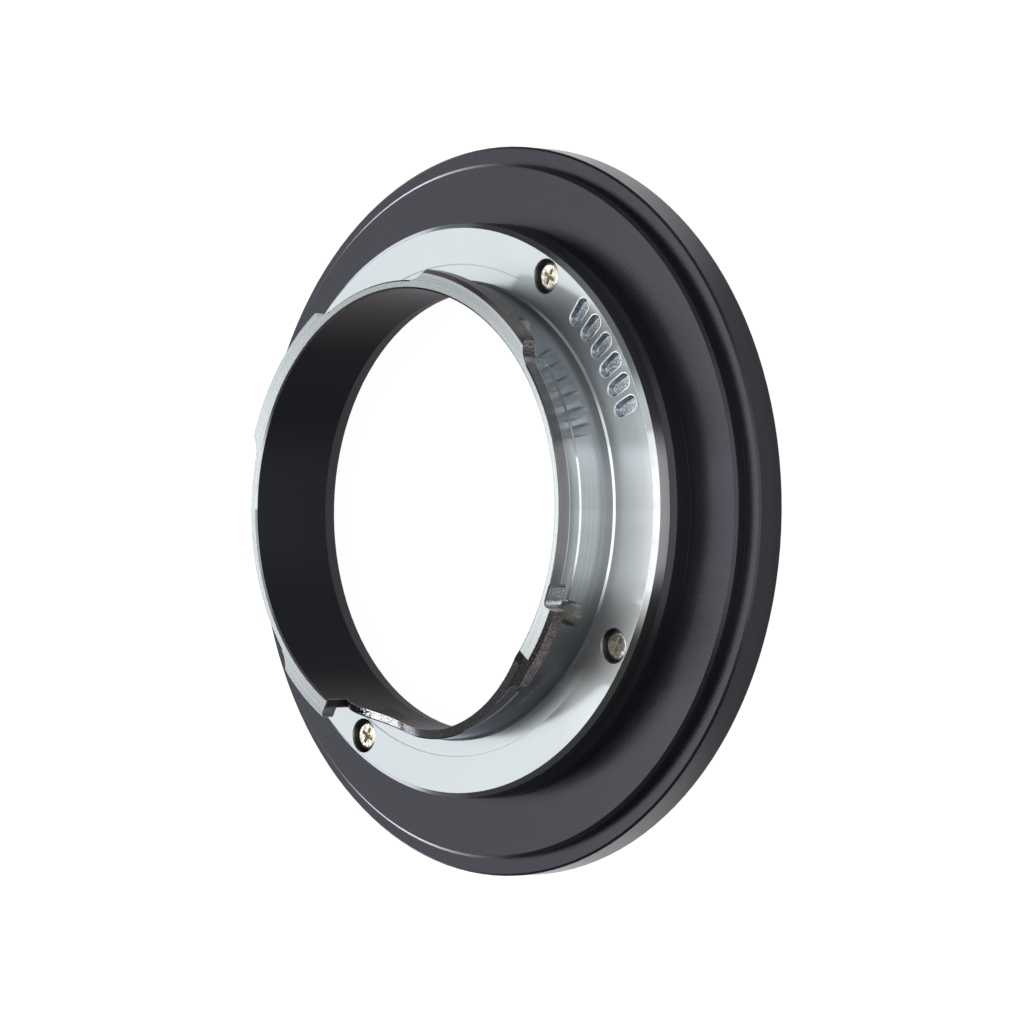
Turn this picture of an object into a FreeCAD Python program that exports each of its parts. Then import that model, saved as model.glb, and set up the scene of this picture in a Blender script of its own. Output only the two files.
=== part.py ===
"""Twist-lock lens mount: a black adapter ring with a four-lug bayonet and its four screws.

Millimetres and degrees. The ring lies on its rear face, z = 0, with the optical axis along +Z and
the bayonet on top. Angles are counted from +X, anticlockwise as seen from the bayonet side.
"""
import FreeCAD, Part
import math
import os
import Sketcher

SIZES = (
    # Black adapter ring
    ("rim_diameter", 70.5, "outer rim"),
    ("rim_height", 3.1, "rear face to the front of the rim"),
    ("rim_chamfer", 0.2, "both edges of the rim"),
    ("rim_step", 1.7, "rim in to the stepped plate"),
    ("plate_height", 1.35, "front of the rim to the front of the plate"),
    ("plate_chamfer", 0.3, "front edge of the plate"),
    ("boss_margin", 0.15, "boss out past the flange that it carries"),
    ("boss_height", 2.55, "front of the plate to the joint with the bayonet"),
    ("boss_chamfer", 0.8, "front edge of the boss"),
    ("web_margin", 0.25, "web back from the bore of the bayonet"),
    ("web_thickness", 1.8, "joint with the bayonet back to the rear of the web"),
    ("relief_margin", 2.1, "counterbore behind the web, out past the tube"),
    ("thread_wall", 2.75, "rim in to the major diameter of the rear thread"),
    ("thread_depth", 3.0, "rear face to the floor of the threaded recess"),
    ("thread_lead_in", 0.6, "chamfer at the mouth of the thread"),
    ("runout_depth", 0.2, "groove where the thread runs out"),
    ("runout_width", 0.8, "width of that groove"),
    # Bayonet, turned form
    ("tube_diameter", 43.8, "tube behind the lugs"),
    ("tube_height", 6.9, "seating land to the front of the lugs"),
    ("tube_wall", 0.95, "tube in to the blackened bore"),
    ("bore_chamfer", 0.2, "front edge of the bore"),
    ("flange_width", 5.65, "tube out to the edge of the flange"),
    ("flange_thickness", 1.7, "joint with the ring to the seating land"),
    ("flange_chamfer", 0.45, "front edge of the flange"),
    ("land_margin", 1.75, "tube out to the seating land"),
    ("land_relief", 0.1, "step down inside the land"),
    ("root_chamfer", 0.2, "corner where the tube meets the flange"),
    ("spigot_wall", 1.65, "register that centres the bayonet, out from the bore"),
    ("spigot_height", 0.4, "length of that register"),
    ("spigot_clearance", 0.03, "radial play of the register"),
    ("lug_height", 1.05, "lugs out past the tube"),
    ("lug_thickness", 1.6, "along the axis"),
    ("lug_chamfer", 0.36, "front outer edge of the lugs"),
    # Bayonet, milled form
    ("gap_relief", 0.1, "tube in to the floor of the gaps between the lugs"),
    ("gap_depth", 2.55, "from the front of the lugs"),
    ("gap_chamfer", 0.13, "front edge of the tube between the lugs"),
    ("gap_slope", 0.2, "height of the sloped corner from the floor of a gap down to the tube"),
    ("mill_radius", 2.5, "cutter that leaves its radius at the lug ends"),
    ("lug_a_start_angle", 43.0, "the four lugs at their outside"),
    ("lug_a_end_angle", 82.0, ""),
    ("lug_b_start_angle", 124.0, ""),
    ("lug_b_end_angle", 160.5, ""),
    ("lug_c_start_angle", 224.0, ""),
    ("lug_c_end_angle", 241.0, ""),
    ("lug_d_start_angle", 314.3, ""),
    ("lug_d_end_angle", 336.0, ""),
    ("notch_relief", 0.2, "index notch beside the last lug, in from the gap floor"),
    ("notch_depth", 2.0, "from the front of the lugs"),
    ("notch_width", 2.28, "from the end of the lug"),
    ("notch_corner", 0.5, "cutter radius in its inner corners"),
    ("cutback_wall", 2.55, "depth of the cut-back at its steep end"),
    ("cutback_depth", 4.85, "depth of the cut-back at its lowest point"),
    ("cutback_low_angle", 254.5, "the lowest point"),
    ("cutback_end_angle", 322.0, "where the ramp reaches the front"),
    ("cutback_tilt_angle", 30.0, "outward fall of the cut face at the lowest point"),
    # Flange details
    ("pit_inset", 2.35, "edge of the flange in to the middle of the code pits"),
    ("pit_first_angle", 22.4, "the first pit"),
    ("pit_pitch_angle", 4.98, "from pit to pit"),
    ("pit_count", 6, ""),
    ("pit_length", 3.05, "along the radius"),
    ("pit_width", 1.55, ""),
    ("pit_depth", 0.6, ""),
    ("pit_taper_angle", 24.0, "slope of the pit walls"),
    ("lock_angle", 186.0, "lock slot, on the circle of the pits"),
    ("lock_length", 3.2, "along the radius"),
    ("lock_width", 2.6, ""),
    ("lock_depth", 1.0, ""),
    # Screws
    ("screw_inset", 2.2, "edge of the flange in to the screws"),
    ("screw_first_angle", 60.3, "the first screw"),
    ("screw_count", 4, "evenly spaced"),
    ("screw_thread", 1.7, "nominal diameter"),
    ("screw_length", 3.3, "under the head"),
    ("head_diameter", 2.6, ""),
    ("head_height", 0.6, ""),
    ("head_rounding", 0.1, "crown of the head"),
    ("head_sink", 0.47, "seating land down to the top of the head"),
    ("head_margin", 0.37, "counterbore round the head"),
    ("hole_margin", 0.1, "clearance hole in the flange round the thread"),
    ("thread_play", 0.01, "tapped hole round the thread"),
    ("tapped_spare", 0.53, "tapped hole on past the end of the screw"),
    ("cross_length", 1.5, "arm to arm of the cross recess"),
    ("cross_width", 0.32, ""),
    ("cross_depth", 0.38, ""),
)

doc = FreeCAD.newDocument("lens_mount")
sheet = doc.addObject("Spreadsheet::Sheet", "Sizes")
for row, (alias, value, note) in enumerate(SIZES, start=1):
    sheet.set(f"A{row}", note)
    sheet.set(f"B{row}", str(value))
    sheet.setAlias(f"B{row}", alias)
doc.recompute()


def size(alias):
    """The expression that reads one size."""
    return f"Sizes.{alias}"


def half(alias):
    """The expression for a radius, from the alias of a diameter."""
    return f"(Sizes.{alias} / 2)"


def value_of(expression):
    """The number that an expression gives now."""
    result = sheet.evalExpression(str(expression))
    return float(getattr(result, "Value", result))


# Radii from the axis
RIM_RADIUS = half("rim_diameter")
PLATE_RADIUS = f"({RIM_RADIUS} - Sizes.rim_step)"
THREAD_RADIUS = f"({RIM_RADIUS} - Sizes.thread_wall)"
RUNOUT_RADIUS = f"({THREAD_RADIUS} + Sizes.runout_depth)"
TUBE_RADIUS = half("tube_diameter")
BORE_RADIUS = f"({TUBE_RADIUS} - Sizes.tube_wall)"
WEB_RADIUS = f"({BORE_RADIUS} + Sizes.web_margin)"
SPIGOT_RADIUS = f"({BORE_RADIUS} + Sizes.spigot_wall)"
RELIEF_RADIUS = f"({TUBE_RADIUS} + Sizes.relief_margin)"
LAND_RADIUS = f"({TUBE_RADIUS} + Sizes.land_margin)"
LUG_RADIUS = f"({TUBE_RADIUS} + Sizes.lug_height)"
GAP_RADIUS = f"({TUBE_RADIUS} - Sizes.gap_relief)"
NOTCH_RADIUS = f"({GAP_RADIUS} - Sizes.notch_relief)"
FLANGE_RADIUS = f"({TUBE_RADIUS} + Sizes.flange_width)"
BOSS_RADIUS = f"({FLANGE_RADIUS} + Sizes.boss_margin)"
PIT_RADIUS = f"({FLANGE_RADIUS} - Sizes.pit_inset)"
SCREW_RADIUS = f"({FLANGE_RADIUS} - Sizes.screw_inset)"

# Heights above the rear face
RIM_TOP = size("rim_height")
PLATE_TOP = f"({RIM_TOP} + Sizes.plate_height)"
JOINT = f"({PLATE_TOP} + Sizes.boss_height)"
REGISTER = f"({JOINT} - Sizes.spigot_height)"
WEB_REAR = f"({JOINT} - Sizes.web_thickness)"
LAND = f"({JOINT} + Sizes.flange_thickness)"
FRONT = f"({LAND} + Sizes.tube_height)"
HEAD_TOP = f"({LAND} - Sizes.head_sink)"
HEAD_SEAT = f"({HEAD_TOP} - Sizes.head_height)"
SCREW_TIP = f"({HEAD_SEAT} - Sizes.screw_length)"

# A sketch's own axes, as geometry numbers
HORIZONTAL_AXIS, VERTICAL_AXIS = -1, -2

# How far a cut runs on past the surface that it opens through
OVERCUT = 1.0


def new_body(name):
    body = doc.addObject("PartDesign::Body", name)
    body.Label = name
    return body


def origin_feature(body, role):
    return next(item for item in body.Origin.OriginFeatures if item.Role == role)


def new_sketch(body, name, role, height="0", turn="0", about=(0, 0, 1)):
    """A sketch on an origin plane, raised along its normal and turned by an angle."""
    sketch = body.newObject("Sketcher::SketchObject", name)
    sketch.AttachmentSupport = [(origin_feature(body, role), "")]
    sketch.MapMode = "FlatFace"
    turned = FreeCAD.Rotation(FreeCAD.Vector(*about), value_of(turn))
    sketch.AttachmentOffset = FreeCAD.Placement(FreeCAD.Vector(0, 0, value_of(height)), turned)
    if height != "0":
        sketch.setExpression("AttachmentOffset.Base.z", f"{height} * 1 mm")
    if turn != "0":
        sketch.setExpression("AttachmentOffset.Rotation.Angle", f"{turn} * 1 deg")
    return sketch


def radial_sketch(body, name, angle="0"):
    """A sketch in the half plane through the axis at one angle: x is the radius, y is the height."""
    return new_sketch(body, name, "XZ_Plane", turn=angle, about=(0, 1, 0))


def bind(sketch, kind, *where, expression):
    """A dimension in a sketch that follows an expression."""
    index = sketch.addConstraint(Sketcher.Constraint(kind, *where, value_of(expression)))
    sketch.setExpression(f"Constraints[{index}]", str(expression))


def outline(sketch, corners):
    """A closed outline of straight edges through corners given as pairs of expressions."""
    places = [FreeCAD.Vector(value_of(x), value_of(y), 0) for x, y in corners]
    count = len(corners)
    edges = [sketch.addGeometry(Part.LineSegment(places[i], places[(i + 1) % count]), False)
             for i in range(count)]
    for i in range(count):
        sketch.addConstraint(Sketcher.Constraint("Coincident", edges[i], 2, edges[(i + 1) % count], 1))
    axes = ((0, "DistanceX", "Vertical", VERTICAL_AXIS), (1, "DistanceY", "Horizontal", HORIZONTAL_AXIS))
    for axis, kind, straight, zero_line in axes:
        for i in range(count):
            shared = i > 0 and corners[i][axis] == corners[i - 1][axis]
            if shared:
                sketch.addConstraint(Sketcher.Constraint(straight, edges[i - 1]))
            elif corners[i][axis] == "0":
                sketch.addConstraint(Sketcher.Constraint("PointOnObject", edges[i], 1, zero_line))
            else:
                bind(sketch, kind, -1, 1, edges[i], 1, expression=corners[i][axis])


def circle(sketch, radius, x, y="0"):
    """A circle whose radius and centre follow expressions."""
    centre = FreeCAD.Vector(value_of(x), value_of(y), 0)
    ring = sketch.addGeometry(Part.Circle(centre, FreeCAD.Vector(0, 0, 1), value_of(radius)), False)
    bind(sketch, "Radius", ring, expression=radius)
    bind(sketch, "DistanceX", -1, 1, ring, 3, expression=x)
    if y == "0":
        sketch.addConstraint(Sketcher.Constraint("PointOnObject", ring, 3, -1))
    else:
        bind(sketch, "DistanceY", -1, 1, ring, 3, expression=y)


def round_slot(sketch, centre, length, width):
    """A round-ended slot along the sketch's x axis."""
    middle, reach, radius = value_of(centre), value_of(f"({length} - {width}) / 2"), value_of(f"{width} / 2")
    up = FreeCAD.Vector(0, 0, 1)
    ends = []
    for side, first in ((1, -math.pi / 2), (-1, math.pi / 2)):
        ring = Part.Circle(FreeCAD.Vector(middle + side * reach, 0, 0), up, radius)
        ends.append(sketch.addGeometry(Part.ArcOfCircle(ring, first, first + math.pi), False))
    top = sketch.addGeometry(Part.LineSegment(FreeCAD.Vector(middle + reach, radius, 0),
                                              FreeCAD.Vector(middle - reach, radius, 0)), False)
    bottom = sketch.addGeometry(Part.LineSegment(FreeCAD.Vector(middle - reach, -radius, 0),
                                                 FreeCAD.Vector(middle + reach, -radius, 0)), False)
    outer, inner = ends
    for first, first_end, second, second_end in ((outer, 2, top, 1), (top, 2, inner, 1),
                                                 (inner, 2, bottom, 1), (bottom, 2, outer, 1)):
        sketch.addConstraint(Sketcher.Constraint("Tangent", first, first_end, second, second_end))
    sketch.addConstraint(Sketcher.Constraint("PointOnObject", outer, 3, -1))
    sketch.addConstraint(Sketcher.Constraint("PointOnObject", inner, 3, -1))
    bind(sketch, "Radius", outer, expression=f"{width} / 2")
    bind(sketch, "DistanceX", -1, 1, outer, 3, expression=f"{centre} + ({length} - {width}) / 2")
    bind(sketch, "DistanceX", -1, 1, inner, 3, expression=f"{centre} - ({length} - {width}) / 2")


def open_slot(sketch, floor, mouth, width, corner):
    """A slot along the sketch's x axis, open at its mouth, with rounded corners at its floor."""
    near, far = value_of(floor), value_of(mouth)
    side, radius = value_of(f"{width} / 2"), value_of(corner)
    up = FreeCAD.Vector(0, 0, 1)

    def line(x1, y1, x2, y2):
        edge = Part.LineSegment(FreeCAD.Vector(x1, y1, 0), FreeCAD.Vector(x2, y2, 0))
        return sketch.addGeometry(edge, False)

    def quarter(y, first):
        ring = Part.Circle(FreeCAD.Vector(near + radius, y, 0), up, radius)
        return sketch.addGeometry(Part.ArcOfCircle(ring, first, first + math.pi / 2), False)

    low_wall = line(far, -side, near + radius, -side)
    low_corner = quarter(radius - side, math.pi)
    back = line(near, radius - side, near, side - radius)
    high_corner = quarter(side - radius, math.pi / 2)
    high_wall = line(near + radius, side, far, side)
    opening = line(far, side, far, -side)
    # A corner runs anticlockwise from its end 1 to its end 2, against the way round the outline
    for first, first_end, second, second_end in ((low_wall, 2, low_corner, 2), (low_corner, 1, back, 1),
                                                 (back, 2, high_corner, 2), (high_corner, 1, high_wall, 1)):
        sketch.addConstraint(Sketcher.Constraint("Tangent", first, first_end, second, second_end))
    sketch.addConstraint(Sketcher.Constraint("Coincident", high_wall, 2, opening, 1))
    sketch.addConstraint(Sketcher.Constraint("Coincident", opening, 2, low_wall, 1))
    sketch.addConstraint(Sketcher.Constraint("Horizontal", low_wall))
    sketch.addConstraint(Sketcher.Constraint("Horizontal", high_wall))
    sketch.addConstraint(Sketcher.Constraint("Vertical", opening))
    sketch.addConstraint(Sketcher.Constraint("Equal", low_corner, high_corner))
    bind(sketch, "Radius", low_corner, expression=corner)
    bind(sketch, "DistanceX", -1, 1, back, 1, expression=floor)
    bind(sketch, "DistanceX", -1, 1, opening, 1, expression=mouth)
    bind(sketch, "DistanceY", -1, 1, opening, 1, expression=f"({width} / 2)")
    bind(sketch, "DistanceY", -1, 1, opening, 2, expression=f"(-{width} / 2)")


def revolve(body, name, sketch, axis="V_Axis"):
    feature = body.newObject("PartDesign::Revolution", name)
    feature.Profile = sketch
    feature.ReferenceAxis = (sketch, [axis])
    feature.Angle = 360
    doc.recompute()
    return feature


def pocket(body, name, sketch, depth, taper=None):
    """A blind cut of a stated depth, against the sketch's normal."""
    before = body.Tip.Shape.Volume
    feature = body.newObject("PartDesign::Pocket", name)
    feature.Profile = sketch
    feature.Type = "Length"
    feature.setExpression("Length", f"{depth} * 1 mm")
    if taper:
        feature.setExpression("TaperAngle", f"-{taper} * 1 deg")
    doc.recompute()
    assert body.Tip.Shape.Volume < before, name + " cuts nothing"
    return feature


def spread(body, name, features, count, angle):
    """The same features, repeated round the axis over an angle."""
    pattern = body.newObject("PartDesign::PolarPattern", name)
    pattern.Originals = features
    pattern.Axis = (origin_feature(body, "Z_Axis"), [""])
    pattern.setExpression("Occurrences", count)
    pattern.setExpression("Angle", f"{angle} * 1 deg")
    body.Tip = pattern
    doc.recompute()
    return pattern


def ring_cut(body, name, floor, depth, start, end):
    """A cut into the tube from the front and from outside, between two angles."""
    bottom = f"({FRONT} - {depth})"
    shoulder = f"({FRONT} - Sizes.gap_chamfer)"
    top = f"({FRONT} + {OVERCUT})"
    outside = f"({LUG_RADIUS} + {OVERCUT})"
    lip = f"({floor} - Sizes.gap_chamfer - {OVERCUT})"
    # The slope reaches the tube halfway along and runs on as far again into the open
    past_tube = f"({TUBE_RADIUS} + Sizes.gap_relief)"
    foot = f"({bottom} - 2 * Sizes.gap_slope)"
    sketch = radial_sketch(body, name + "_section", start)
    outline(sketch, ((floor, bottom), (past_tube, foot), (outside, foot), (outside, top), (lip, top),
                     (floor, shoulder)))
    before = body.Tip.Shape.Volume
    groove = body.newObject("PartDesign::Groove", name)
    groove.Profile = sketch
    groove.ReferenceAxis = (sketch, ["V_Axis"])
    groove.setExpression("Angle", f"({end} - {start}) * 1 deg")
    doc.recompute()
    assert body.Tip.Shape.Volume < before, name + " cuts nothing"


# Black adapter ring
def make_adapter_body():
    body = new_body("adapter_body")
    section = radial_sketch(body, "ring_section")
    register = f"({SPIGOT_RADIUS} + Sizes.spigot_clearance)"
    outline(section, (
        (WEB_RADIUS, WEB_REAR),
        (WEB_RADIUS, REGISTER),
        (register, REGISTER),
        (register, JOINT),
        (f"({BOSS_RADIUS} - Sizes.boss_chamfer)", JOINT),
        (BOSS_RADIUS, f"({JOINT} - Sizes.boss_chamfer)"),
        (BOSS_RADIUS, PLATE_TOP),
        (f"({PLATE_RADIUS} - Sizes.plate_chamfer)", PLATE_TOP),
        (PLATE_RADIUS, f"({PLATE_TOP} - Sizes.plate_chamfer)"),
        (PLATE_RADIUS, RIM_TOP),
        (f"({RIM_RADIUS} - Sizes.rim_chamfer)", RIM_TOP),
        (RIM_RADIUS, f"({RIM_TOP} - Sizes.rim_chamfer)"),
        (RIM_RADIUS, size("rim_chamfer")),
        (f"({RIM_RADIUS} - Sizes.rim_chamfer)", "0"),
        (f"({THREAD_RADIUS} + Sizes.thread_lead_in)", "0"),
        (THREAD_RADIUS, size("thread_lead_in")),
        (THREAD_RADIUS, "(Sizes.thread_depth - Sizes.runout_width)"),
        (RUNOUT_RADIUS, "(Sizes.thread_depth - Sizes.runout_width)"),
        (RUNOUT_RADIUS, size("thread_depth")),
        (RELIEF_RADIUS, size("thread_depth")),
        (RELIEF_RADIUS, WEB_REAR),
    ))
    revolve(body, "ring_turned", section)
    hole = new_sketch(body, "tapped_hole_circle", "XY_Plane", JOINT, size("screw_first_angle"))
    circle(hole, f"({half('screw_thread')} + Sizes.thread_play)", SCREW_RADIUS)
    tapped = pocket(body, "tapped_hole", hole, f"({JOINT} - {SCREW_TIP} + Sizes.tapped_spare)")
    spread(body, "tapped_holes", [tapped], size("screw_count"), "360")
    return body


# Chromed bayonet
def make_bayonet_mount():
    body = new_body("bayonet_mount")
    section = radial_sketch(body, "bayonet_section")
    relief = f"({LAND} - Sizes.land_relief)"
    lug_rear = f"({FRONT} - Sizes.lug_thickness)"
    outline(section, (
        (BORE_RADIUS, REGISTER),
        (SPIGOT_RADIUS, REGISTER),
        (SPIGOT_RADIUS, JOINT),
        (FLANGE_RADIUS, JOINT),
        (FLANGE_RADIUS, f"({LAND} - Sizes.flange_chamfer)"),
        (f"({FLANGE_RADIUS} - Sizes.flange_chamfer)", LAND),
        (LAND_RADIUS, LAND),
        (LAND_RADIUS, relief),
        (f"({TUBE_RADIUS} + Sizes.root_chamfer)", relief),
        (TUBE_RADIUS, f"({relief} + Sizes.root_chamfer)"),
        (TUBE_RADIUS, lug_rear),
        (LUG_RADIUS, lug_rear),
        (LUG_RADIUS, f"({FRONT} - Sizes.lug_chamfer)"),
        (f"({LUG_RADIUS} - Sizes.lug_chamfer)", FRONT),
        (f"({BORE_RADIUS} + Sizes.bore_chamfer)", FRONT),
        (BORE_RADIUS, f"({FRONT} - Sizes.bore_chamfer)"),
    ))
    revolve(body, "bayonet_turned", section)
    mill_lug_gaps(body)
    mill_cutback(body)
    drill_flange(body)
    return body


def mill_lug_gaps(body):
    """The gaps that leave the four lugs standing, with the cutter's radius at their ends."""
    centre = f"({GAP_RADIUS} + Sizes.mill_radius)"
    # Angle from a lug's corner to the place where the cutter stopped beside it
    squares = f"({LUG_RADIUS}^2 + {centre}^2 - Sizes.mill_radius^2)"
    swing = f"(acos({squares} / (2 * {LUG_RADIUS} * {centre})) / 1 deg)"
    # Angle from the end of the last lug to the middle of the notch beside it, which the first gap runs into
    to_middle = f"(asin(Sizes.notch_width / 2 / {LUG_RADIUS}) / 1 deg)"
    gaps = (
        ("gap_a", f"(Sizes.lug_d_end_angle + {to_middle} / 2)", f"(Sizes.lug_a_start_angle + 360 - {swing})"),
        ("gap_b", f"(Sizes.lug_a_end_angle + {swing})", f"(Sizes.lug_b_start_angle - {swing})"),
        ("gap_c", f"(Sizes.lug_b_end_angle + {swing})", f"(Sizes.lug_c_start_angle - {swing})"),
        ("gap_d", size("lug_c_end_angle"), f"(Sizes.lug_d_start_angle - {swing})"),
    )
    for name, start, end in gaps:
        ring_cut(body, name, GAP_RADIUS, size("gap_depth"), start, end)
    stops = [end for name, start, end in gaps] + [start for name, start, end in gaps if swing in start]
    ends = new_sketch(body, "gap_end_circles", "XY_Plane", FRONT)
    for angle in stops:
        circle(ends, size("mill_radius"), f"({centre} * cos({angle} * 1 deg))",
               f"({centre} * sin({angle} * 1 deg))")
    pocket(body, "gap_ends", ends, size("gap_depth"))
    notch = new_sketch(body, "notch_plan", "XY_Plane", FRONT, f"(Sizes.lug_d_end_angle + {to_middle})")
    open_slot(notch, NOTCH_RADIUS, f"({LUG_RADIUS} + {OVERCUT})", size("notch_width"), size("notch_corner"))
    pocket(body, "index_notch", notch, size("notch_depth"))


def mill_cutback(body):
    """The cut-back of the tube: a steep end at one lug, a low point, and a helical ramp to the next."""
    steep, low, end = size("lug_c_end_angle"), size("cutback_low_angle"), size("cutback_end_angle")
    inner = f"({BORE_RADIUS} - {OVERCUT})"
    outer = f"({LUG_RADIUS} + {OVERCUT})"
    top = f"({FRONT} + 2 * {OVERCUT})"
    # Stations: share of the way, from angle, to angle, depth at each of those, share of the tilt
    wall, depth = size("cutback_wall"), size("cutback_depth")
    stations = (
        (0.0, steep, low, wall, depth, 1.0),
        (0.5, steep, low, wall, depth, 1.0),
        (0.95, steep, low, wall, depth, 1.0),
        (0.05, low, end, depth, "0", 1.0),
        (0.2, low, end, depth, "0", 0.8),
        (0.5, low, end, depth, "0", 0.3),
        (0.75, low, end, depth, "0", 0.1),
        (1.0, low, end, depth, "0", 0.0),
        (1.08, low, end, depth, "0", 0.0),
    )
    sections = []
    for number, (share, first, last, first_depth, last_depth, tilt) in enumerate(stations):
        angle = f"({first} + ({last} - {first}) * {share})"
        height = f"({FRONT} - {first_depth} - ({last_depth} - {first_depth}) * {share})"
        fall = f"(tan(Sizes.cutback_tilt_angle * {tilt} * 1 deg))"
        sketch = radial_sketch(body, f"cutback_section_{number}", angle)
        outline(sketch, (
            (inner, f"({height} + {OVERCUT} * {fall})"),
            (outer, f"({height} - ({outer} - {BORE_RADIUS}) * {fall})"),
            (outer, top),
            (inner, top),
        ))
        sections.append(sketch)
    doc.recompute()
    before = body.Tip.Shape.Volume
    loft = body.newObject("PartDesign::SubtractiveLoft", "cutback")
    loft.Profile = sections[0]
    loft.Sections = sections[1:]
    loft.Ruled = False
    loft.Closed = False
    doc.recompute()
    assert body.Tip.Shape.Volume < before, "cutback cuts nothing"


def drill_flange(body):
    """Screw holes, code pits and lock slot in the flange."""
    seat = new_sketch(body, "counterbore_circle", "XY_Plane", LAND, size("screw_first_angle"))
    circle(seat, f"({half('head_diameter')} + Sizes.head_margin)", SCREW_RADIUS)
    counterbore = pocket(body, "counterbore", seat, f"({LAND} - {HEAD_SEAT})")
    way = new_sketch(body, "screw_hole_circle", "XY_Plane", LAND, size("screw_first_angle"))
    circle(way, f"({half('screw_thread')} + Sizes.hole_margin)", SCREW_RADIUS)
    hole = pocket(body, "screw_hole", way, f"(Sizes.flange_thickness + {OVERCUT})")
    spread(body, "screw_holes", [counterbore, hole], size("screw_count"), "360")
    pit_plan = new_sketch(body, "pit_plan", "XY_Plane", LAND, size("pit_first_angle"))
    round_slot(pit_plan, PIT_RADIUS, size("pit_length"), size("pit_width"))
    pit = pocket(body, "code_pit", pit_plan, size("pit_depth"), size("pit_taper_angle"))
    spread(body, "code_pits", [pit], size("pit_count"), "(Sizes.pit_pitch_angle * (Sizes.pit_count - 1))")
    lock_plan = new_sketch(body, "lock_plan", "XY_Plane", LAND, size("lock_angle"))
    round_slot(lock_plan, PIT_RADIUS, size("lock_length"), size("lock_width"))
    pocket(body, "lock_slot", lock_plan, size("lock_depth"))


# Four cross-head screws in one node
def make_mount_screws():
    body = new_body("mount_screws")
    body.AllowCompound = True
    axis = SCREW_RADIUS
    shank = f"({axis} + {half('screw_thread')})"
    rim = f"({axis} + {half('head_diameter')})"
    section = radial_sketch(body, "screw_section", size("screw_first_angle"))
    outline(section, (
        (axis, SCREW_TIP),
        (shank, SCREW_TIP),
        (shank, HEAD_SEAT),
        (rim, HEAD_SEAT),
        (rim, f"({HEAD_TOP} - Sizes.head_rounding)"),
        (f"({rim} - 2 * Sizes.head_rounding)", HEAD_TOP),
        (axis, HEAD_TOP),
    ))
    centre_line = section.addGeometry(Part.LineSegment(
        FreeCAD.Vector(value_of(axis), value_of(SCREW_TIP), 0),
        FreeCAD.Vector(value_of(axis), value_of(HEAD_TOP), 0)), True)
    section.addConstraint(Sketcher.Constraint("Coincident", centre_line, 1, 0, 1))
    section.addConstraint(Sketcher.Constraint("Coincident", centre_line, 2, 6, 1))
    turned = revolve(body, "screw_turned", section, "Axis0")
    cross = new_sketch(body, "cross_plan", "XY_Plane", HEAD_TOP, size("screw_first_angle"))
    arm, side = half("cross_length"), half("cross_width")
    outline(cross, (
        (f"({axis} + {arm})", f"(-{side})"),
        (f"({axis} + {arm})", side),
        (f"({axis} + {side})", side),
        (f"({axis} + {side})", arm),
        (f"({axis} - {side})", arm),
        (f"({axis} - {side})", side),
        (f"({axis} - {arm})", side),
        (f"({axis} - {arm})", f"(-{side})"),
        (f"({axis} - {side})", f"(-{side})"),
        (f"({axis} - {side})", f"(-{arm})"),
        (f"({axis} + {side})", f"(-{arm})"),
        (f"({axis} + {side})", f"(-{side})"),
    ))
    recess = pocket(body, "cross_recess", cross, size("cross_depth"))
    spread(body, "screws", [turned, recess], size("screw_count"), "360")
    return body


pieces = [make_adapter_body(), make_bayonet_mount(), make_mount_screws()]
doc.recompute()

for item in doc.Objects:
    assert "Invalid" not in item.State and "Error" not in item.State, item.Name
for piece in pieces:
    assert not piece.Shape.isNull() and piece.Shape.isValid(), piece.Label

os.makedirs("parts", exist_ok=True)
for piece in pieces:
    piece.Shape.exportStep(f"parts/{piece.Label}.step")
    print(piece.Label, len(piece.Shape.Solids), "solids", round(piece.Shape.Volume, 2), "mm3")
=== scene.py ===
"""Twist-lock lens mount: finish, rear thread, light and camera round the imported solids.

Metres, in the frame of the solids: the ring lies on z = 0 with its optical axis along +Z.
Angles go round that axis from +X, which is the side that the camera sees first.
"""
import math
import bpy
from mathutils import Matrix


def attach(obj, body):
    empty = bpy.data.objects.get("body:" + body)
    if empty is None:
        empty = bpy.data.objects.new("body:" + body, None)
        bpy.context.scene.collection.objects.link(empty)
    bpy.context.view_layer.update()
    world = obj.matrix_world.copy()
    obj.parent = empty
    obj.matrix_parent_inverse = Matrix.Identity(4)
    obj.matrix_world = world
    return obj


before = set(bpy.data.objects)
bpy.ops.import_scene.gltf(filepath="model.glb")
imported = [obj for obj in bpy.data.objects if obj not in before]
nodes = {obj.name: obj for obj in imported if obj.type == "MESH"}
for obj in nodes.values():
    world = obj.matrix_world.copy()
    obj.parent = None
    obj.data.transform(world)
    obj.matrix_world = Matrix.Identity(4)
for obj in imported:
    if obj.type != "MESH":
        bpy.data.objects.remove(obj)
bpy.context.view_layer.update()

from types import SimpleNamespace

import bpy
from mathutils import Matrix, Vector

MM = 0.001

# Places on the solids, from the axis and from the rear face
BORE_RADIUS = 20.95 * MM
WEB_RADIUS = 21.2 * MM
GAP_RADIUS = 21.8 * MM
TUBE_RADIUS = 21.9 * MM
ROOT_RADIUS = 22.1 * MM
LAND_RADIUS = 23.65 * MM
CHAMFER_RADIUS = 27.1 * MM
FLANGE_RADIUS = 27.55 * MM
PLATE_RADIUS = 33.55 * MM
PLATE_CHAMFER = 0.3 * MM
PLATE_HEIGHT = 4.45 * MM
STEP_FLOOR = 8.6 * MM
LAND_HEIGHT = 8.7 * MM
ROOT_TOP = 8.8 * MM
SLOPE_FOOT = 12.84 * MM
SLOPE_TOP = 13.06 * MM
LUG_HEIGHT = 13.9 * MM
COLLAR_LINE = 14.3 * MM
FRONT_HEIGHT = 15.6 * MM
PIT_RADIUS = 25.2 * MM
PIT_LENGTH = 3.05 * MM
PIT_WIDTH = 1.55 * MM
PIT_COUNT = 6
PIT_ANGLE = math.radians(22.4)
PIT_PITCH = math.radians(4.98)
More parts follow.
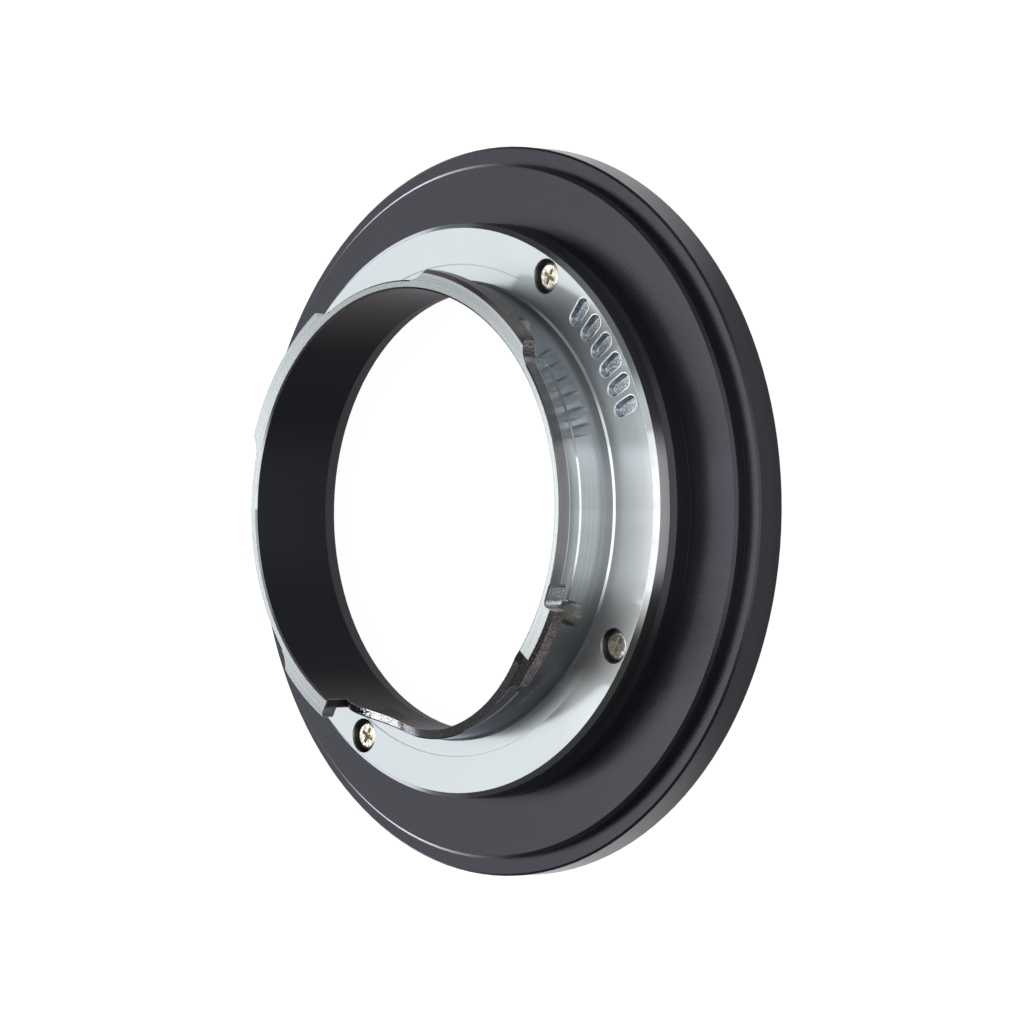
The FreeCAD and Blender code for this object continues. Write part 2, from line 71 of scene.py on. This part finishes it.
HEAD_TOP = 8.23 * MM
SCREW_ANGLE = math.radians(60.3)
SCREW_COUNT = 4
THREAD_RADIUS = 32.5 * MM
THREAD_PITCH = 1.0 * MM

# How near a point lies to a surface that it is counted to
SKIN = 0.02 * MM


# Shader building blocks

class Shader:
    """A node tree with short calls for what the finishes below need."""

    def __init__(self, tree):
        self.tree = tree
        tree.nodes.clear()

    def node(self, kind, **settings):
        made = self.tree.nodes.new(kind)
        for name, value in settings.items():
            setattr(made, name, value)
        return made

    def feed(self, socket, source):
        """Links a socket to another, or sets it to a plain value."""
        if isinstance(source, bpy.types.NodeSocket):
            self.tree.links.new(source, socket)
        else:
            socket.default_value = source

    def maths(self, operation, first, second=0.0):
        made = self.node("ShaderNodeMath", operation=operation)
        self.feed(made.inputs[0], first)
        self.feed(made.inputs[1], second)
        return made.outputs[0]

    def product(self, first, *others):
        for other in others:
            first = self.maths("MULTIPLY", first, other)
        return first

    def total(self, first, *others):
        for other in others:
            first = self.maths("ADD", first, other)
        return first

    def either(self, first, second):
        """The larger of two."""
        return self.maths("MAXIMUM", first, second)

    def share(self, first, part, second):
        """So much of the first pattern, and the rest of the second."""
        return self.total(self.product(first, part), self.product(second, 1 - part))

    def above(self, value, limit):
        """1 where a value is over a limit, else 0."""
        return self.maths("GREATER_THAN", value, limit)

    def below(self, value, limit):
        """1 where a value is under a limit, else 0."""
        return self.maths("LESS_THAN", value, limit)

    def within(self, value, low, high):
        """1 where a value lies between two others, else 0."""
        return self.product(self.above(value, low), self.below(value, high))

    def ramp(self, value, low, high, first=0.0, last=1.0, smooth=True):
        """Goes from first to last as value goes from low to high."""
        kind = "SMOOTHSTEP" if smooth else "LINEAR"
        made = self.node("ShaderNodeMapRange", interpolation_type=kind)
        for socket, source in zip(made.inputs[:5], (value, low, high, first, last)):
            self.feed(socket, source)
        return made.outputs[0]

    def arc(self, angle, low, high, first=0.0, last=1.0):
        """A ramp over an angle, with its ends in degrees."""
        return self.ramp(angle, math.radians(low), math.radians(high), first, last)

    def mix(self, share, first, second):
        """A colour between two others."""
        made = self.node("ShaderNodeMix", data_type="RGBA")
        self.feed(made.inputs["Factor"], share)
        self.feed(made.inputs[6], first)
        self.feed(made.inputs[7], second)
        return made.outputs[2]

    def blend(self, share, first, second):
        """A vector between two others."""
        made = self.node("ShaderNodeMix", data_type="VECTOR")
        self.feed(made.inputs["Factor"], share)
        self.feed(made.inputs[4], first)
        self.feed(made.inputs[5], second)
        return made.outputs[1]

    def vector(self, x, y, z):
        made = self.node("ShaderNodeCombineXYZ")
        for socket, source in zip(made.inputs, (x, y, z)):
            self.feed(socket, source)
        return made.outputs[0]

    def parts(self, vector):
        made = self.node("ShaderNodeSeparateXYZ")
        self.feed(made.inputs[0], vector)
        return made.outputs

    def noise(self, place, scale, detail=2.0, rough=0.5):
        made = self.node("ShaderNodeTexNoise")
        self.feed(made.inputs["Vector"], place)
        made.inputs["Scale"].default_value = scale
        made.inputs["Detail"].default_value = detail
        made.inputs["Roughness"].default_value = rough
        return made.outputs["Fac"]

    def place(self):
        """Position, radius from the axis, height and angle of the point that is shaded."""
        where = self.node("ShaderNodeNewGeometry").outputs["Position"]
        x, y, z = self.parts(where)
        radius = self.maths("SQRT", self.total(self.product(x, x), self.product(y, y)))
        return where, radius, z, self.maths("ARCTAN2", y, x)

    def turned(self, radius, height, angle, pitch, waver=0.25):
        """Fine lines round the axis, as a lathe leaves them, from 0 to 1."""
        along = self.vector(self.product(radius, 1 / pitch), self.product(height, 1 / pitch),
                            self.product(angle, waver))
        return self.noise(along, 1.0, detail=3.0, rough=0.6)

    def round_the_axis(self):
        return self.node("ShaderNodeTangent", direction_type="RADIAL", axis="Z").outputs[0]

    def bump(self, height, distance, strength, normal):
        made = self.node("ShaderNodeBump")
        made.inputs["Strength"].default_value = strength
        made.inputs["Distance"].default_value = distance
        self.feed(made.inputs["Height"], height)
        self.feed(made.inputs["Normal"], normal)
        return made.outputs[0]

    def soft_edges(self, radius):
        made = self.node("ShaderNodeBevel", samples=6)
        made.inputs["Radius"].default_value = radius
        return made.outputs[0]

    def edges(self, rounded):
        """1 along the edges, where the rounded normal leaves the face's own, else 0."""
        made = self.node("ShaderNodeVectorMath", operation="DOT_PRODUCT")
        self.feed(made.inputs[0], rounded)
        self.feed(made.inputs[1], self.node("ShaderNodeNewGeometry").outputs["Normal"])
        return self.ramp(made.outputs["Value"], 0.8, 0.97, 1.0, 0.0)

    def finish(self, **inputs):
        """The surface itself."""
        surface = self.node("ShaderNodeBsdfPrincipled")
        for key, source in inputs.items():
            self.feed(surface.inputs[key.replace("_", " ")], source)
        output = self.node("ShaderNodeOutputMaterial")
        self.feed(output.inputs["Surface"], surface.outputs[0])


def new_material(name):
    material = bpy.data.materials.new(name)
    material.use_nodes = True
    return material, Shader(material.node_tree)


def dress(piece, material):
    piece.data.materials.clear()
    piece.data.materials.append(material)


# Finishes

ACROSS_THE_LINES = 0.25


def black_anodised():
    """Satin black over fine turning lines; the web is duller, and part of the plate's chamfer is
    pale metal, a painted highlight.
    """
    material, make = new_material("black_anodised")
    where, radius, height, angle = make.place()
    fine = make.turned(radius, height, angle, 0.11 * MM)
    broad = make.turned(radius, height, angle, 0.7 * MM, waver=0.1)
    grain = make.noise(where, 9000, detail=3.0)
    cloud = make.noise(where, 160, detail=4.0)
    away = make.maths("ABSOLUTE", angle)
    # Painted highlight: the plate's chamfer turns pale and metallic only from about 95 to 127
    # degrees off +X
    chamfer_highlight = make.product(
        make.within(radius, PLATE_RADIUS - PLATE_CHAMFER, PLATE_RADIUS + SKIN),
        make.within(height, PLATE_HEIGHT - PLATE_CHAMFER, PLATE_HEIGHT - SKIN / 2),
        make.arc(away, 80, 110), make.arc(away, 122, 132, 1.0, 0.0))
    tint = make.mix(make.ramp(broad, 0.3, 0.7),
                    (0.0135, 0.0135, 0.0185, 1), (0.018, 0.0178, 0.0235, 1))
    tint = make.mix(make.below(radius, WEB_RADIUS + SKIN), tint, (0.06, 0.052, 0.055, 1))
    tint = make.mix(chamfer_highlight, tint, (0.85, 0.85, 0.86, 1))
    rough = make.total(make.ramp(grain, 0.35, 0.75, 0.22, 0.29),
                       make.ramp(cloud, 0.3, 0.7, -0.03, 0.04))
    rough = make.ramp(chamfer_highlight, 0.0, 1.0, rough, 0.2, smooth=False)
    normal = make.bump(make.share(fine, 0.7, grain), 0.004 * MM, 0.5, make.soft_edges(0.05 * MM))
    make.finish(Base_Color=tint, Metallic=chamfer_highlight, Roughness=rough, Normal=normal,
                Anisotropic=0.45, Anisotropic_Rotation=ACROSS_THE_LINES,
                Tangent=make.round_the_axis(), Specular_IOR_Level=0.75,
                Specular_Tint=(0.87, 0.87, 1.0, 1))
    return material


def pit_lips(make, radius, height, angle):
    """1 on a thin ring round the rim of each code pit, where a highlight is painted, else 0."""
    half_line = 0.04 * MM
    depth = 0.15 * MM
    steps = make.total(make.product(make.maths("SUBTRACT", angle, PIT_ANGLE), 1 / PIT_PITCH), 0.5)
    aside = make.product(make.maths("SUBTRACT", make.maths("FRACT", steps), 0.5),
                         PIT_PITCH * PIT_RADIUS)
    along = make.maths("ABSOLUTE", make.maths("SUBTRACT", radius, PIT_RADIUS))
    past = make.either(make.maths("SUBTRACT", along, (PIT_LENGTH - PIT_WIDTH) / 2), 0.0)
    reach = make.maths("SQRT", make.total(make.product(aside, aside), make.product(past, past)))
    return make.product(make.within(reach, PIT_WIDTH / 2 - half_line, PIT_WIDTH / 2 + half_line),
                        make.within(steps, 0.0, PIT_COUNT),
                        make.within(height, LAND_HEIGHT - depth, LAND_HEIGHT + SKIN))


def bayonet_places(make, radius, height, angle, mottle):
    """The places of the bayonet that differ in finish, each 1 there and else 0."""
    on = SimpleNamespace()
    under_land = make.below(height, LAND_HEIGHT - SKIN)
    facing = make.arc(make.maths("ABSOLUTE", angle), 45, 80, 1.0, 0.0)

    # Flange
    on.flat = make.product(make.within(radius, ROOT_RADIUS, CHAMFER_RADIUS),
                           make.within(height, LAND_HEIGHT - 0.15 * MM, LAND_HEIGHT + SKIN))
    on.relief = make.product(facing, make.within(radius, ROOT_RADIUS, LAND_RADIUS - SKIN),
                             under_land)
    on.by_step = make.product(
        make.within(radius, LAND_RADIUS - 0.1 * MM, LAND_RADIUS + 0.1 * MM),
        make.within(height, STEP_FLOOR - SKIN, LAND_HEIGHT + SKIN))
    on.step_wall = make.product(make.within(radius, LAND_RADIUS - SKIN, LAND_RADIUS + SKIN),
                                make.within(height, STEP_FLOOR - SKIN, LAND_HEIGHT - SKIN / 4))
    on.step_foot = make.product(make.below(facing, 0.5),
                                make.within(radius, LAND_RADIUS - 0.11 * MM, LAND_RADIUS - SKIN),
                                make.within(height, STEP_FLOOR - SKIN, LAND_HEIGHT - SKIN))
    on.pits = make.product(make.within(radius, LAND_RADIUS + 2 * SKIN, CHAMFER_RADIUS - SKIN),
                           under_land)
    on.lips = pit_lips(make, radius, height, angle)
    from_screw = make.product(make.maths("SUBTRACT", angle, SCREW_ANGLE), SCREW_COUNT)
    on.counterbores = make.product(on.pits, make.above(make.maths("COSINE", from_screw), 0.9))
    on.mouths = make.product(on.counterbores, make.above(height, LAND_HEIGHT - 0.2 * MM))
    on.side = make.above(radius, FLANGE_RADIUS - SKIN)

    # Tube
    on.tube = make.either(make.above(height, ROOT_TOP), make.below(radius, ROOT_RADIUS))
    on.root = make.product(make.within(radius, TUBE_RADIUS + SKIN / 2, ROOT_RADIUS),
                           make.below(height, ROOT_TOP))
    on.slope = make.product(make.within(radius, GAP_RADIUS + SKIN / 2, TUBE_RADIUS - SKIN / 2),
                            make.within(height, SLOPE_FOOT, SLOPE_TOP))
    around_gap = make.within(radius, GAP_RADIUS - SKIN, GAP_RADIUS + SKIN)
    on.collar = make.product(around_gap,
                             make.within(height, COLLAR_LINE, FRONT_HEIGHT - 0.15 * MM))
    on.tool_line = make.product(around_gap,
                                make.within(height, COLLAR_LINE - 0.1 * MM, COLLAR_LINE))
    on.front = make.above(height, FRONT_HEIGHT - SKIN)
    on.brink = make.product(
        make.within(radius, GAP_RADIUS - 0.13 * MM, GAP_RADIUS + SKIN),
        make.within(height, FRONT_HEIGHT - 0.14 * MM, FRONT_HEIGHT - SKIN / 2))
    on.lugs = make.product(make.above(radius, TUBE_RADIUS + 2 * SKIN),
                           make.within(height, LUG_HEIGHT, FRONT_HEIGHT - SKIN))
    on.cuts = make.product(make.below(radius, GAP_RADIUS - 1.5 * SKIN),
                           make.within(height, LAND_HEIGHT, FRONT_HEIGHT - 0.25 * MM))
    ragged = make.total(angle, make.ramp(mottle, 0.3, 0.7, -0.025, 0.025))
    on.glint = make.product(on.cuts, make.arc(ragged, -116, -112),
                            make.arc(ragged, -106, -102, 1.0, 0.0))
    on.bore = make.below(radius, BORE_RADIUS + SKIN)
    return on


def flange_tint(make, patchy, painted_sheen):
    """Chrome in soft patches, with a painted sheen that makes it paler on the side towards +X."""
    patchy = make.ramp(patchy, 0.35, 0.65)
    return make.mix(painted_sheen,
                    make.mix(patchy, (0.61, 0.66, 0.672, 1), (0.645, 0.695, 0.705, 1)),
                    make.mix(patchy, (0.83, 0.865, 0.855, 1), (0.91, 0.945, 0.935, 1)))


def tube_tint(make, height, angle, middling):
    """Turned chrome with painted light: darker towards the flange, a painted reflection of the
    black plate; darker below about -30 degrees round the axis and paler above about 10.
    """
    dark_to, plain_from = 9.4 * MM, 10.6 * MM
    tint = make.mix(make.ramp(middling, 0.35, 0.65),
                    (0.42, 0.44, 0.455, 1), (0.48, 0.50, 0.515, 1))
    # Painted light round the axis: paler above about 10 degrees, darker below about -30
    tint = make.mix(make.arc(angle, 5, 14), tint, (0.64, 0.67, 0.69, 1))
    tint = make.mix(make.arc(angle, -34, -24), (0.32, 0.33, 0.345, 1), tint)
    # Painted reflection of the black plate: darker just above the flange
    return make.mix(make.ramp(height, dark_to, plain_from, 1.0, 0.0),
                    tint, (0.29, 0.30, 0.315, 1))


def front_tint(make, away, brushed):
    """The milled front ring, brushed, with painted shade that keeps it a little darker within about
    45 degrees of +X.
    """
    brushed = make.ramp(brushed, 0.38, 0.62)
    return make.mix(make.arc(away, 35, 55),
                    make.mix(brushed, (0.44, 0.47, 0.475, 1), (0.56, 0.59, 0.595, 1)),
                    make.mix(brushed, (0.48, 0.515, 0.52, 1), (0.60, 0.64, 0.645, 1)))


def lug_tint(make, angle, away, patches):
    """The walls of the lugs: brown and mottled where the plating wears, plain chrome elsewhere;
    painted light makes them paler below -10 degrees round the axis, darkest from 10 to 45 and paler
    again from about 70.
    """
    tint = make.mix(make.arc(angle, -10, 10),
                    make.mix(patches, (0.32, 0.27, 0.27, 1), (0.66, 0.60, 0.59, 1)),
                    make.mix(patches, (0.13, 0.105, 0.105, 1), (0.38, 0.34, 0.335, 1)))
    tint = make.mix(make.arc(angle, 43, 47), tint, (0.50, 0.455, 0.45, 1))
    tint = make.mix(make.arc(angle, 62, 78), tint, (0.95, 0.87, 0.86, 1))
    return make.mix(make.arc(away, 97, 107), tint, (0.52, 0.53, 0.54, 1))


def cut_tint(make, angle, patches):
    """The faces of the cut-back, mottled, with painted light: nearly black at its steep end, pale
    along its ramp.
    """
    return make.mix(make.arc(angle, -112, -98),
                    make.mix(patches, (0.05, 0.043, 0.043, 1), (0.16, 0.14, 0.14, 1)),
                    make.mix(patches, (0.55, 0.54, 0.57, 1), (0.95, 0.94, 0.96, 1)))


def chrome_plate():
    """Turned satin chrome: a hazy flange, a brighter tube, browner cuts and a blackened bore."""
    material, make = new_material("chrome_plate")
    where, radius, height, angle = make.place()
    away = make.maths("ABSOLUTE", angle)
    fine = make.turned(radius, height, angle, 0.09 * MM)
    middling = make.turned(radius, height, angle, 0.3 * MM, waver=0.4)
    broad = make.turned(radius, height, angle, 0.8 * MM, waver=0.15)
    grain = make.noise(where, 12000, detail=2.0)
    cloud = make.noise(where, 220, detail=4.0)
    mottle = make.noise(where, 5200, detail=4.0)
    patches = make.ramp(mottle, 0.4, 0.62)
    on = bayonet_places(make, radius, height, angle, mottle)
    up_to_line = make.arc(angle, 5, 18, 1.0, 0.0)
    # Painted sheen: the flange and its relief are tinted paler from about -25 to about 12 degrees
    # round the axis
    painted_sheen = make.product(make.arc(angle, -38, -10), up_to_line)
    hazy = make.product(make.arc(angle, -56, -42), up_to_line)
    # Painted sheen: at about 90 degrees off +X the blackened bore turns paler, brownish, smoother
    # and partly metallic
    painted_bore_sheen = make.product(make.arc(away, 70, 135, 1.0, 0.0), make.arc(away, 60, 88, 0.04, 1.0))

    # Later rows lie over earlier ones
    # Near white for the painted highlights on the root chamfer and the slope
    bright_line = (0.95, 0.96, 0.96, 1)
    tint = flange_tint(make, make.share(cloud, 0.5, middling), painted_sheen)
    rough = make.ramp(broad, 0.3, 0.7, 0.07, 0.09)
    for mask, colour, level in (
            (on.tube, tube_tint(make, height, angle, middling), 0.12),
            (on.front, front_tint(make, away, make.share(mottle, 0.45, middling)), 0.22),
            # Painted shade: the chamfer round the front edge is tinted dark
            (on.brink, (0.17, 0.17, 0.175, 1), 0.22),
            (on.relief, make.mix(painted_sheen, (0.68, 0.72, 0.735, 1), (0.92, 0.95, 0.955, 1)), 0.22),
            (on.step_wall, (0.62, 0.67, 0.68, 1), 0.3),
            (on.step_foot, (0.16, 0.172, 0.175, 1), 0.2),
            # Painted shade: the mottled code pits are darker than the land, the counterbores darker
            # still, and less so at their mouths
            (on.pits, make.mix(patches, (0.40, 0.45, 0.48, 1), (0.62, 0.68, 0.71, 1)), 0.22),
            (on.counterbores, (0.20, 0.21, 0.215, 1), 0.28),
            (on.mouths, (0.42, 0.43, 0.42, 1), 0.35),
            # Painted highlight: a thin pale ring round each code pit
            (on.lips, (0.72, 0.74, 0.74, 1), 0.25),
            # Painted light: the flange's side wall is pale within about 12 degrees of +X and dark
            # elsewhere
            (on.side, make.mix(make.arc(away, 9, 18),
                               (0.57, 0.555, 0.56, 1), (0.16, 0.15, 0.155, 1)), 0.36),
            (on.collar, (0.40, 0.39, 0.395, 1), 0.15),
            # Painted highlight: a pale band at the lower edge of the collar
            (on.tool_line, (0.92, 0.92, 0.94, 1), 0.15),
            # Painted highlights: the root chamfer and the slope are tinted near white
            (on.root, bright_line, 0.12),
            (on.slope, bright_line, 0.12),
            (on.lugs, lug_tint(make, angle, away, patches), 0.18),
            (on.cuts, cut_tint(make, angle, patches), 0.20),
            (on.glint, make.mix(patches, (0.36, 0.365, 0.365, 1), (0.74, 0.75, 0.75, 1)), 0.25),
            (on.bore, make.mix(painted_bore_sheen, (0.0052, 0.0056, 0.0115, 1), (0.74, 0.65, 0.655, 1)),
             make.ramp(painted_bore_sheen, 0.0, 1.0, 0.42, 0.28))):
        tint = make.mix(mask, tint, colour)
        rough = make.ramp(mask, 0.0, 1.0, rough, level, smooth=False)
    # Painted highlight: near white along the edges of the lugs and the cut-back
    bright = make.product(make.edges(make.soft_edges(0.12 * MM)), make.either(on.lugs, on.cuts))
    tint = make.mix(bright, tint, (0.93, 0.94, 0.94, 1))

    # Small edges and the pit rims catch the light by a normal of their own
    normal = make.soft_edges(0.06 * MM)
    for mask, way in ((on.by_step, (0.0, 0.0, 1.0)),
                      (on.glint, (0.37, -0.02, 0.93)),
                      (on.step_wall, (0.72, 0.0, 0.69)),
                      (on.step_foot, (0.27, 0.0, 0.963)),
                      (on.lips, (0.15, 0.0, 0.989))):
        normal = make.blend(mask, normal, way)
    cast = make.product(on.pits, mottle, 25.0)
    normal = make.bump(make.total(make.share(fine, 0.75, grain), cast), 0.002 * MM, 0.5, normal)
    dull = make.product(on.bore, make.ramp(painted_bore_sheen, 0.0, 1.0, 1.0, 0.5))
    make.finish(Base_Color=tint, Metallic=make.maths("SUBTRACT", 1.0, dull), Roughness=rough,
                Normal=normal, Anisotropic=1.0, Anisotropic_Rotation=ACROSS_THE_LINES,
                Tangent=make.round_the_axis(), Specular_Tint=(0.85, 0.88, 1.0, 1),
                Coat_Roughness=0.5, Coat_IOR=6.0, Coat_Tint=(0.95, 0.99, 0.985, 1),
                Coat_Weight=make.product(on.flat, make.ramp(hazy, 0.0, 1.0, 0.5, 1.0)))
    return material


def screw_nickel():
    """Bright nickel heads; the cross recess is yellower and worn."""
    material, make = new_material("screw_nickel")
    where, _, height, _ = make.place()
    cloud = make.noise(where, 2600, detail=4.0)
    grain = make.noise(where, 9000, detail=3.0)
    sunk = make.ramp(height, HEAD_TOP - 0.2 * MM, HEAD_TOP - 0.1 * MM, 1.0, 0.0)
    tint = make.mix(sunk,
                    make.mix(make.ramp(cloud, 0.5, 0.68),
                             (0.97, 0.945, 0.87, 1), (0.62, 0.53, 0.31, 1)),
                    make.mix(make.ramp(grain, 0.4, 0.6),
                             (0.30, 0.24, 0.10, 1), (0.80, 0.70, 0.42, 1)))
    rough = make.ramp(grain, 0.3, 0.7, 0.12, 0.22)
    normal = make.bump(cloud, 0.11 * MM, 0.6, make.soft_edges(0.1 * MM))
    make.finish(Base_Color=tint, Metallic=1.0, Roughness=rough, Normal=normal,
                Coat_Normal=normal, Coat_Weight=0.9, Coat_Roughness=0.4, Coat_IOR=3.5,
                Coat_Tint=(1.0, 0.96, 0.85, 1))
    return material


black = black_anodised()
dress(nodes["adapter_body"], black)
dress(nodes["bayonet_mount"], chrome_plate())
dress(nodes["mount_screws"], screw_nickel())


# Rear thread

def rear_thread():
    """The turns of the female thread, on the plain wall of the rear recess."""
    crest = 0.54 * MM
    half_root = 0.44 * MM
    half_crest = 0.07 * MM
    sunk = 0.02 * MM
    first, last = 0.75 * MM, 1.85 * MM
    steps_a_turn = 180
    fade = 30
    steps = round((last - first) / THREAD_PITCH * steps_a_turn)
    points, faces = [], []
    for step in range(steps + 1):
        turn = 2 * math.pi * step / steps_a_turn
        middle = first + THREAD_PITCH * step / steps_a_turn
        grown = min(1.0, step / fade, (steps - step) / fade)
        outer, inner = THREAD_RADIUS + sunk, THREAD_RADIUS - crest * grown
        for radius, offset in ((outer, -half_root), (inner, -half_crest),
                               (inner, half_crest), (outer, half_root)):
            points.append((radius * math.cos(turn), radius * math.sin(turn), middle + offset))
    for step in range(steps):
        near, far = 4 * step, 4 * step + 4
        for side in range(4):
            beside = (side + 1) % 4
            faces.append((near + side, near + beside, far + beside, far + side))
    faces.append((0, 3, 2, 1))
    faces.append(tuple(4 * steps + side for side in range(4)))
    mesh = bpy.data.meshes.new("rear_thread")
    mesh.from_pydata(points, [], faces)
    mesh.update()
    thread = bpy.data.objects.new("rear_thread", mesh)
    bpy.context.scene.collection.objects.link(thread)
    dress(thread, black)
    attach(thread, "root")


rear_thread()


# Floor, surroundings and camera

FLOOR_SIZE = 4.0
PAPER_WHITE = 0.97


def mirrored_floor(make, where, radius, angle):
    """How bright the floor is in a reflection: white in places, dim where the room shades it."""
    y = make.parts(where)[1]
    close = make.ramp(make.maths("ABSOLUTE", y), 20 * MM, 33 * MM, 0.35, PAPER_WHITE)
    ahead = make.product(make.arc(angle, -26, -14, 0.0, 0.8), make.arc(angle, 22, 25, 1.0, 0.05))
    away = make.maths("ABSOLUTE", angle)
    behind = make.either(make.arc(away, 138, 150, 0.0, PAPER_WHITE),
                         make.product(make.arc(away, 105, 120, 0.0, PAPER_WHITE),
                                      make.ramp(radius, 60 * MM, 85 * MM, 1.0, 0.0)))
    left = make.product(make.arc(angle, 50, 70), make.arc(angle, 105, 120, 0.1, 0.06))
    far = make.either(ahead, make.either(behind, left))
    return make.ramp(make.ramp(radius, 39 * MM, 43 * MM), 0.0, 1.0, close, far, smooth=False)


def pale_floor():
    """A white floor with a soft shadow, lit from below for the camera and for reflections."""
    bpy.ops.mesh.primitive_plane_add(size=FLOOR_SIZE, location=(0, 0, 0))
    floor = bpy.context.object
    floor.name = "floor"
    material, make = new_material("pale_floor")
    path = make.node("ShaderNodeLightPath").outputs
    where, radius, _, angle = make.place()
    mirrored = make.product(mirrored_floor(make, where, radius, angle),
                            make.either(path["Is Glossy Ray"], path["Is Transmission Ray"]))
    glow = make.node("ShaderNodeEmission")
    make.feed(glow.inputs["Strength"],
              make.either(make.product(path["Is Camera Ray"], PAPER_WHITE), mirrored))
    matt = make.node("ShaderNodeBsdfDiffuse")
    matt.inputs["Color"].default_value = (0.2, 0.2, 0.2, 1)
    added = make.node("ShaderNodeAddShader")
    make.feed(added.inputs[0], glow.outputs[0])
    make.feed(added.inputs[1], matt.outputs[0])
    output = make.node("ShaderNodeOutputMaterial")
    make.feed(output.inputs["Surface"], added.outputs[0])
    dress(floor, material)


def surroundings():
    """A dim room: a tall white panel beyond the ring, a card and a fill on the camera's side."""
    room = 0.06
    card_strength = 1.1
    world = bpy.data.worlds.new("studio")
    world.use_nodes = True
    bpy.context.scene.world = world
    make = Shader(world.node_tree)
    x, y, z = make.parts(make.node("ShaderNodeTexCoord").outputs["Generated"])

    beyond = make.maths("ARCTAN2", z, make.product(x, -1.0))
    panel = make.product(make.total(make.arc(beyond, 31, 39), make.arc(beyond, 46, 58, 0.0, 2.5)),
                         make.arc(beyond, 82, 96, 1.0, 0.0),
                         make.ramp(make.maths("ABSOLUTE", y), 0.14, 0.36, 1.0, 0.0))

    low = make.arc(make.maths("ARCTAN2", z, x), 60, 75, 1.0, 0.0)
    streaks = make.ramp(make.noise(make.vector(0.0, y, 0.0), 9.0, detail=2.0), 0.3, 0.7, 0.88, 1.12)
    card = make.product(low, streaks, make.ramp(y, 0.38, 0.40, 1.0, 0.0),
                        make.ramp(y, -0.62, -0.3))

    fill = make.product(make.ramp(x, -0.3, -0.1), make.ramp(z, 0.1, 0.5, 0.4, 1.0),
                        make.ramp(z, 0.8, 0.95, 1.0, 0.0), make.ramp(y, 0.38, 0.40, 0.0, 0.7),
                        make.ramp(y, 0.52, 0.70, 1.0, 0.2))

    sky = make.node("ShaderNodeBackground")
    sky.inputs["Color"].default_value = (0.97, 0.985, 1.0, 1)
    make.feed(sky.inputs["Strength"],
              make.total(panel, make.product(card, card_strength), fill, room))
    output = make.node("ShaderNodeOutputWorld")
    make.feed(output.inputs["Surface"], sky.outputs[0])


CAMERA_PLACE = Vector((0.3362, -0.0039, 0.3202))
CAMERA_FORWARD = Vector((-0.72505, 0.00826, -0.68865))
CAMERA_RIGHT = Vector((0.6887, 0.0087, -0.7250))
CAMERA_LENS_MM = 167.95
CAMERA_SENSOR_MM = 36.0


def photo_camera():
    """The photograph's view, from a camera fitted to the ring's circles."""
    lens = bpy.data.cameras.new("camera")
    lens.sensor_width = CAMERA_SENSOR_MM
    lens.lens = CAMERA_LENS_MM
    lens.clip_start, lens.clip_end = 0.01, 20.0
    camera = bpy.data.objects.new("camera", lens)
    bpy.context.scene.collection.objects.link(camera)
    back = -CAMERA_FORWARD.normalized()
    right = (CAMERA_RIGHT - CAMERA_RIGHT.dot(back) * back).normalized()
    up = back.cross(right)
    turned = Matrix((right, up, back)).transposed().to_4x4()
    camera.matrix_world = Matrix.Translation(CAMERA_PLACE) @ turned
    bpy.context.scene.camera = camera


pale_floor()
surroundings()
photo_camera()
bpy.context.scene.view_settings.view_transform = "Standard"
